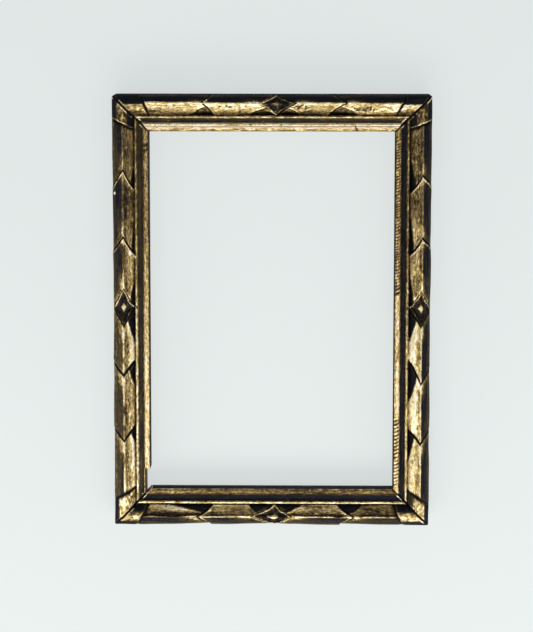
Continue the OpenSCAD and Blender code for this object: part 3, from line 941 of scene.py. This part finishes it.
# The blue in these blacks is a painted reflection of bluish light from above
BLACK = (0.007, 0.008, 0.013, 1)
SIDE_PAINT, WORN_PAINT = (0.004, 0.005, 0.012, 1), (0.009, 0.009, 0.013, 1)
SCUFF = (0.030, 0.023, 0.017, 1)
GESSO = (0.78, 0.73, 0.64, 1)
RAW_WOOD, DARK_WOOD = (0.27, 0.16, 0.085, 1), (0.10, 0.055, 0.028, 1)
BRASS, BRASS_STAIN = (0.21, 0.140, 0.060, 1), (0.12, 0.078, 0.038, 1)
STEEL, STEEL_STAIN = (0.32, 0.31, 0.30, 1), (0.14, 0.11, 0.09, 1)
WALL_MATT, WALL_GLOW = (0.16, 0.17, 0.17, 1), (0.60, 0.64, 0.635, 1)
# Grey of the room by height, from straight down at 0 to straight up at 1
ROOM = [(0.30, (0.80, 0.79, 0.77, 1)), (0.65, (0.37, 0.36, 0.35, 1))]


def spread(n, value, amount):
    """A noise from 0 to 1 turned to one from -amount to amount."""
    return n.math("MULTIPLY", n.math("SUBTRACT", value, 0.5), 2 * amount)


def tinted(colour, *tints):
    for tint in tints:
        colour = tuple(a * b for a, b in zip(colour, tint))
    return (*colour, 1)


def gilt_material(name, tint):
    """Worn metal leaf with dark patina, by the mesh's own fields.

    The gold is deeper in some places and paler in others.
    """
    n = Surface(name)
    lay = n.attribute("lay", "Vector")
    dark, light = n.attribute("dark"), n.attribute("light")
    streaks = n.stretched(lay, (0.14, 0.95, 1), 3.0, 0.6)
    across = n.stretched(lay, (0.85, 0.35, 1), 3.0, 0.6)
    mottle = n.stretched(lay, (0.26, 0.60, 1), 4.0, 0.62)
    grain = n.stretched(lay, (0.42, 1.20, 1), 3.0, 0.7)
    thin = n.stretched(lay, (0.22, 0.55, 1.7), 3.0, 0.65)

    change = n.math("ADD", spread(n, mottle, MOTTLE), spread(n, streaks, STREAKS))
    fine = n.math("ADD", spread(n, across, ACROSS), spread(n, grain, GRAIN))
    change = n.math("ADD", change, fine)
    bright = n.math("DIVIDE", n.math("ADD", light, change), GOLD_SPAN, clamp=True)
    deep, pale = (
        n.colours(bright, [(at, tinted(colour, tint, other)) for at, colour in GOLDS])
        for other in (DEEP_TINT, PALE_TINT)
    )
    gold = n.mix(n.ramp(thin, 0.38, 0.62), deep, pale)
    soil_and_shade = n.math("SUBTRACT", dark, n.math("MULTIPLY", change, 0.52))
    gold = n.mix(n.ramp(soil_and_shade, 0.10, 0.60), gold, tinted(BROWN, tint))
    gold = n.mix(n.ramp(soil_and_shade, 0.50, 0.98), gold, BLACK)

    metal = n.between(n.ramp(soil_and_shade, 0.1, 0.8), 0.75, 0.35)
    metal = n.math("MULTIPLY", metal, n.between(n.ramp(bright, 0.88, 0.98), 1.0, 0.2))
    roughness = n.between(n.ramp(soil_and_shade, 0.1, 0.8), 0.36, 0.50)
    roughness = n.math("ADD", roughness, n.math("MULTIPLY", grain, 0.12))
    relief = n.math("ADD", n.math("MULTIPLY", mottle, 0.7), n.math("MULTIPLY", grain, 0.3))
    return n.made(gold, roughness, n.bump(relief, 0.7, 0.0007), metal, specular=0.08)


def paint_material():
    """Black paint of the sides with a painted bluish reflection in it, worn to the gesso where the
    mesh says so.
    """
    n = Surface("side_paint")
    lay, light = n.attribute("lay", "Vector"), n.attribute("light")
    mottle = n.stretched(lay, (0.22, 0.5, 1), 4.0, 0.6)
    rubs = n.stretched(lay, (0.06, 0.5, 1), 6.0, 0.7)
    colour = n.mix(n.ramp(mottle, 0.35, 0.75), SIDE_PAINT, WORN_PAINT)
    colour = n.mix(n.ramp(rubs, 0.58, 0.72), colour, SCUFF)
    colour = n.mix(n.ramp(light, 0.5, 0.9), colour, GESSO)
    roughness = n.between(mottle, 0.65, 0.85)
    return n.made(colour, roughness, n.bump(mottle, 0.3, 0.0004), specular=0.02)


def wood_material():
    """Bare wood of the back, with its grain along each rail."""
    n = Surface("bare_wood")
    lay = n.attribute("lay", "Vector")
    grain = n.stretched(lay, (0.035, 1.3, 1), 5.0, 0.6)
    pores = n.stretched(lay, (0.25, 4.0, 1), 3.0, 0.6)
    wood = n.mix(n.ramp(grain, 0.3, 0.7), RAW_WOOD, DARK_WOOD)
    wood = n.mix(n.ramp(pores, 0.62, 0.75), wood, DARK_WOOD)
    roughness = n.between(grain, 0.65, 0.8)
    return n.made(wood, roughness, n.bump(pores, 0.35, 0.0003), specular=0.25)


def brass_material():
    """Dull old brass of the hanger and the turn buttons."""
    n = Surface("old_brass")
    where = n.add("TexCoord").outputs["Object"]
    stain, fine = n.noise(where, 420.0, 4.0, 0.6), n.noise(where, 2600.0, 3.0, 0.6)
    colour = n.mix(n.ramp(stain, 0.25, 0.75), BRASS, BRASS_STAIN)
    return n.made(colour, n.between(stain, 0.30, 0.55), n.bump(fine, 0.25, 0.0002), metallic=0.95)


def steel_material():
    """Steel of the brads, with a little rust."""
    n = Surface("brad_steel")
    stain = n.noise(n.add("TexCoord").outputs["Object"], 500.0, 4.0, 0.6)
    return n.made(n.mix(stain, STEEL, STEEL_STAIN), n.between(stain, 0.35, 0.6), metallic=0.9)


def wall_material():
    """Plain pale wall, which takes soft shadows and glows only as it is seen.

    From behind it is clear, so that the frame's back shows.
    """
    material = bpy.data.materials.new("pale_wall")
    n = Nodes(material)
    path = n.add("LightPath")
    seen = n.math("MAXIMUM", path.outputs["Is Camera Ray"], path.outputs["Is Glossy Ray"])
    seen = n.math("MAXIMUM", seen, path.outputs["Is Transmission Ray"])
    matt = n.add("BsdfDiffuse", {"Color": WALL_MATT})
    glow = n.add("Emission", {"Color": WALL_GLOW, "Strength": seen})
    both = n.add("AddShader", {0: matt.outputs[0], 1: glow.outputs[0]})
    clear = n.add("BsdfTransparent")
    facing = n.add("NewGeometry").outputs["Backfacing"]
    choose = n.add("MixShader", {0: facing, 1: both.outputs[0], 2: clear.outputs[0]})
    n.add("OutputMaterial", {"Surface": choose.outputs[0]})
    return material


# Camera: well above the middle of the frame and a little to its right, with a long lens
CAMERA_AT = (15, -1500, MID_Z + 220)
CAMERA_DOWN, CAMERA_YAW, CAMERA_ROLL = (math.radians(a) for a in (6.849, -0.725, 0.034))
CAMERA_LENS, CAMERA_SENSOR, CAMERA_SHIFT_Y = 121.4, 36, -0.1

# Lamps: size, power, colour, place, and how far below the middle of the frame each aims
LAMPS = {
    "key_low": ((700, 350), 3.0, (1.0, 0.97, 0.92), (0, -520, MID_Z - 480), 60),
    "low_left": ((260, 260), 0.7, (1.0, 0.98, 0.94), (-480, -220, MID_Z - 300), 110),
    "low_right": ((260, 260), 0.7, (1.0, 0.98, 0.94), (480, -220, MID_Z - 300), 110),
    "front": ((500, 500), 3.0, (1.0, 0.99, 0.97), (0, -1600, MID_Z - 100), 0),
}
SUN_ANGLE = math.radians(4)
WALL_GAP, WALL_HALF = 0.2 * MM, 3.0


def add_object(name, data):
    made = bpy.data.objects.new(name, data)
    bpy.context.scene.collection.objects.link(made)
    made.rotation_mode = "QUATERNION"
    return made


def make_camera():
    data = bpy.data.cameras.new("camera")
    data.sensor_width, data.lens = CAMERA_SENSOR, CAMERA_LENS
    data.shift_y = CAMERA_SHIFT_Y
    data.clip_start, data.clip_end = 0.05, 20
    cam = add_object("camera", data)
    cam.location = Vector(CAMERA_AT) * MM
    ahead, fall = math.cos(CAMERA_DOWN), math.sin(CAMERA_DOWN)
    forward = Vector((math.sin(CAMERA_YAW) * ahead, math.cos(CAMERA_YAW) * ahead, -fall))
    right = Vector((math.cos(CAMERA_YAW), -math.sin(CAMERA_YAW), 0))
    up = right.cross(forward)
    c, d = math.cos(CAMERA_ROLL), math.sin(CAMERA_ROLL)
    right, up = right * c + up * d, up * c - right * d
    cam.rotation_quaternion = Matrix((right, up, -forward)).transposed().to_quaternion()
    bpy.context.scene.camera = cam


def make_light():
    for name, (size, power, colour, at, below) in LAMPS.items():
        data = bpy.data.lights.new(name, "AREA")
        data.shape = "RECTANGLE"
        data.size, data.size_y = size[0] * MM, size[1] * MM
        data.energy, data.color = power, colour
        made = add_object(name, data)
        made.location = Vector(at) * MM
        aim = Vector((0, 0, MID_Z - below)) - Vector(at)
        made.rotation_quaternion = aim.to_track_quat("-Z", "Y")
    # A sun behind the wall lights the back alone
    back = bpy.data.lights.new("behind", "SUN")
    back.energy, back.angle = 1.0, SUN_ANGLE
    sun = add_object("behind", back)
    sun.rotation_quaternion = Vector((0, -1, 0)).to_track_quat("-Z", "Y")


def make_world():
    """Plain room, pale below and greyer above."""
    world = bpy.data.worlds.new("world")
    bpy.context.scene.world = world
    n = Nodes(world)
    up = n.add("SeparateXYZ", {0: n.add("TexCoord").outputs["Generated"]}).outputs["Z"]
    height = n.add("MapRange", {"Value": up, "From Min": -1}).outputs[0]
    room = n.add("Background", {"Color": n.colours(height, ROOM)})
    n.add("OutputWorld", {"Surface": room.outputs[0]})


def make_wall():
    mesh = bpy.data.meshes.new("wall")
    y, half = cad_high.y + WALL_GAP, WALL_HALF
    low, high = MID_Z * MM - half, MID_Z * MM + half
    corners = [(-half, y, low), (half, y, low), (half, y, high), (-half, y, high)]
    mesh.from_pydata(corners, [], [(0, 1, 2, 3)])
    mesh.materials.append(wall_material())
    wall = add_object("wall", mesh)
    wall.visible_shadow = False
    wall.visible_diffuse = False


def dress(made, material):
    """Gives a CAD node's object one material."""
    for material_slot in made.material_slots:
        material_slot.material = material
    if not made.material_slots:
        made.data.materials.append(material)


bpy.context.scene.view_settings.view_transform = "Standard"
make_camera()
make_world()
make_wall()
make_light()

gilt, gilt_bead = gilt_material("gilt", CARVING_TINT), gilt_material("gilt_bead", BEAD_TINT)
paint, wood = paint_material(), wood_material()
for key in SIDES:
    rail_node, bead_node = NODES[key]
    carved = make_rail(key, [gilt, paint, wood])
    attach(carved, "frame")
    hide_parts(rail_node)
    bead = make_bead(key, [gilt_bead, paint, wood])
    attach(bead, "frame")
    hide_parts(bead_node)

brass, steel = brass_material(), steel_material()
for node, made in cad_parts.items():
    if node.startswith("brads"):
        dress(made, steel)
    elif node.startswith(("hanger", "turn_button")):
        dress(made, brass)
